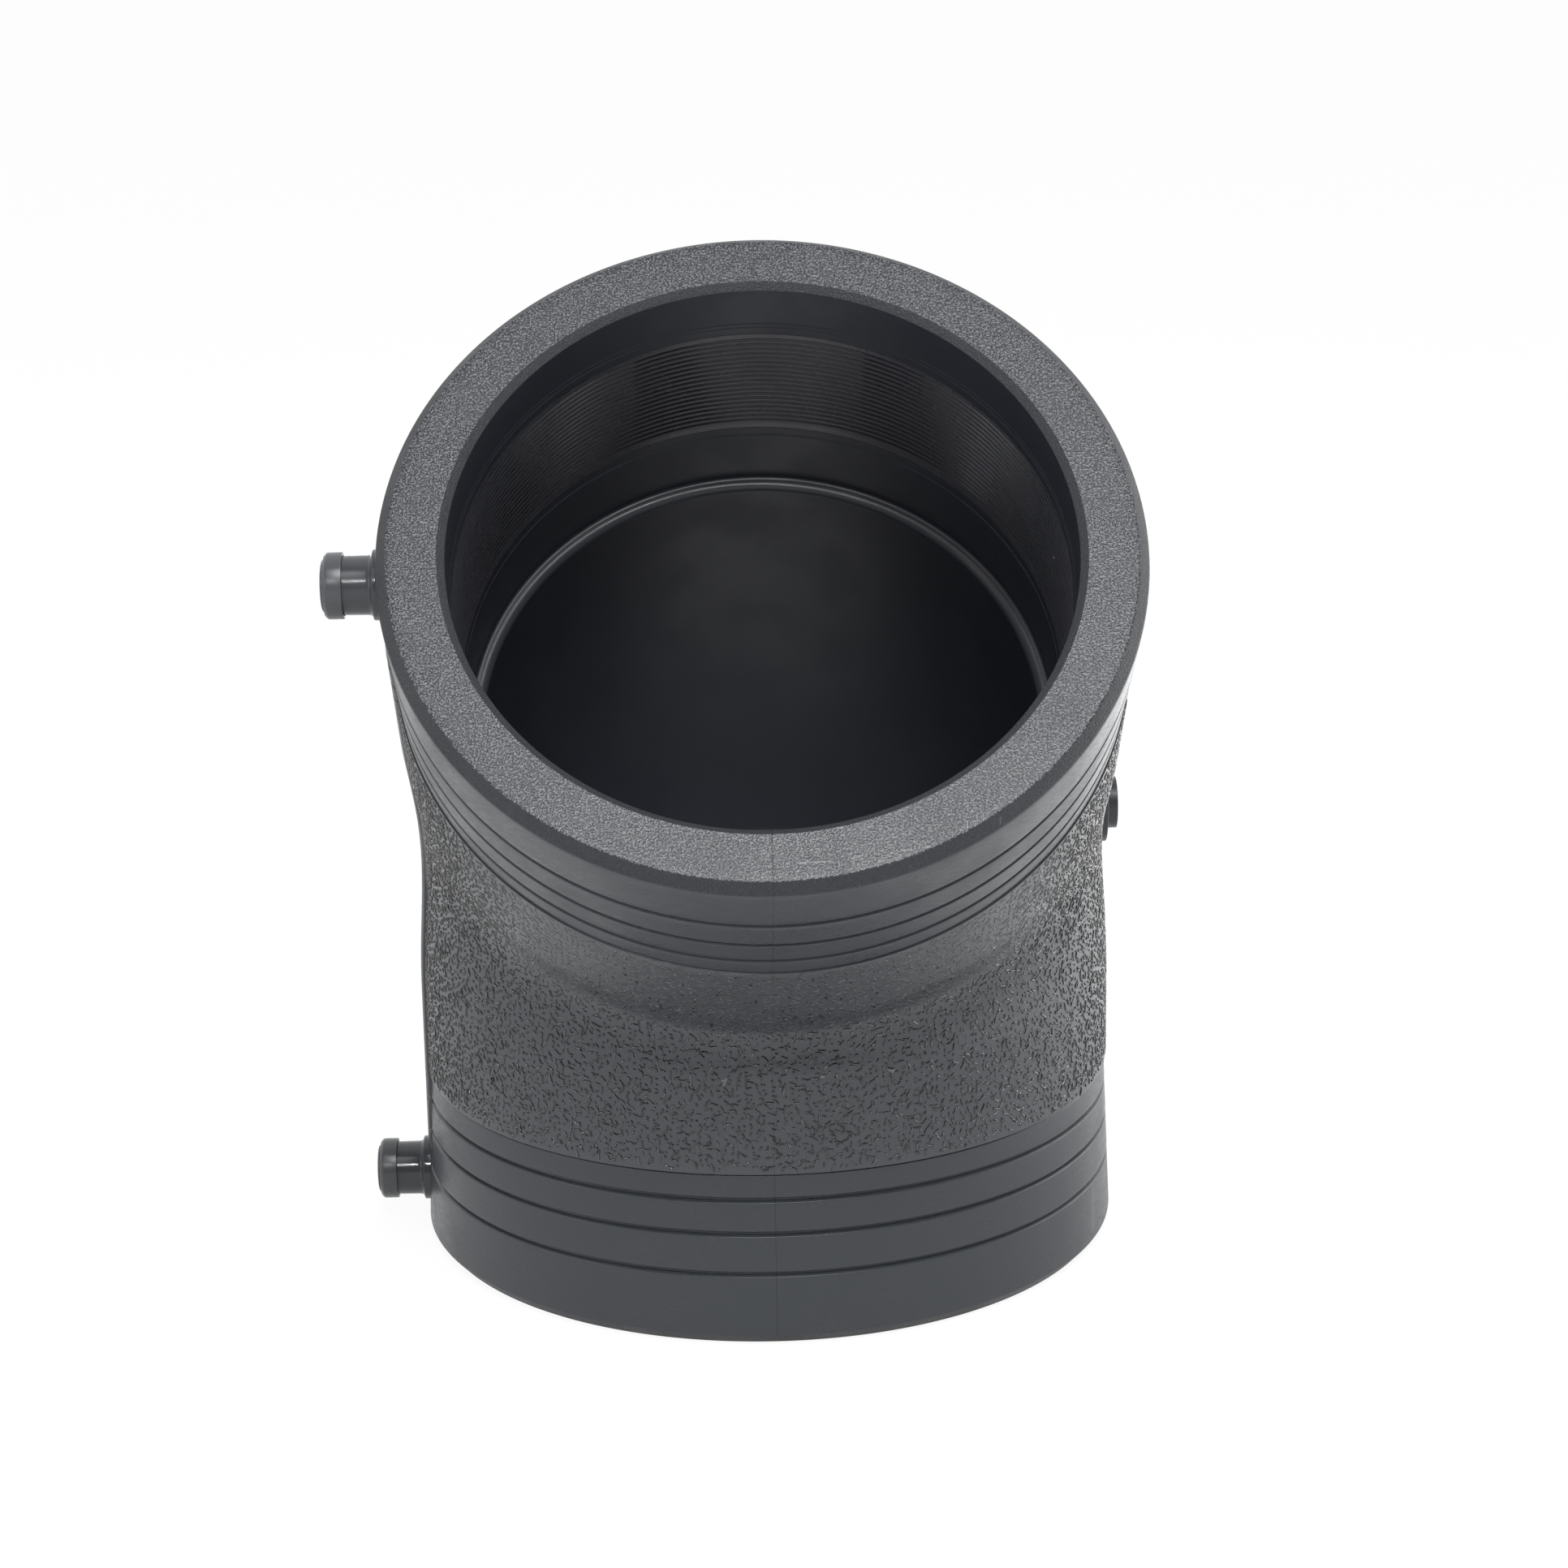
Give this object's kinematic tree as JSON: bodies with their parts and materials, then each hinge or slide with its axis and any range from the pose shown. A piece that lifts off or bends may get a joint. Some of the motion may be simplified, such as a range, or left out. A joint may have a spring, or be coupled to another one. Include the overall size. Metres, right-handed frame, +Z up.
{
  "type": "electrofusion elbow",
  "caption": "Black moulded polyethylene pipe elbow of 45 degrees with a fusion socket at each end, heating wire in the bores and capped side terminals.",
  "frame": {"origin": "middle of the bounding box on the floor, under the elbow as it stands on the flat face of its lower socket", "axes": "+Z up along the axis of the lower socket, -Y the way the upper socket leans, -X the way the terminals point"},
  "size_m": [0.2134, 0.2572, 0.2857],
  "materials": {
    "black_polyethylene": "satin moulded black, with a fine grain on the end faces and a raised dash grain between the smooth bands",
    "wire_coat": "smooth black coat, ribbed by the turns of the wire",
    "terminal_brass": "plain turned",
    "cap_plastic": "satin black"
  },
  "bodies": {
    "root": {"elbow_body": "black_polyethylene", "heating_wire": "wire_coat", "terminal_pin_lower": "terminal_brass", "terminal_pin_upper": "terminal_brass", "terminal_cap_lower": "cap_plastic", "terminal_cap_upper": "cap_plastic"}
  },
  "joints": []
}
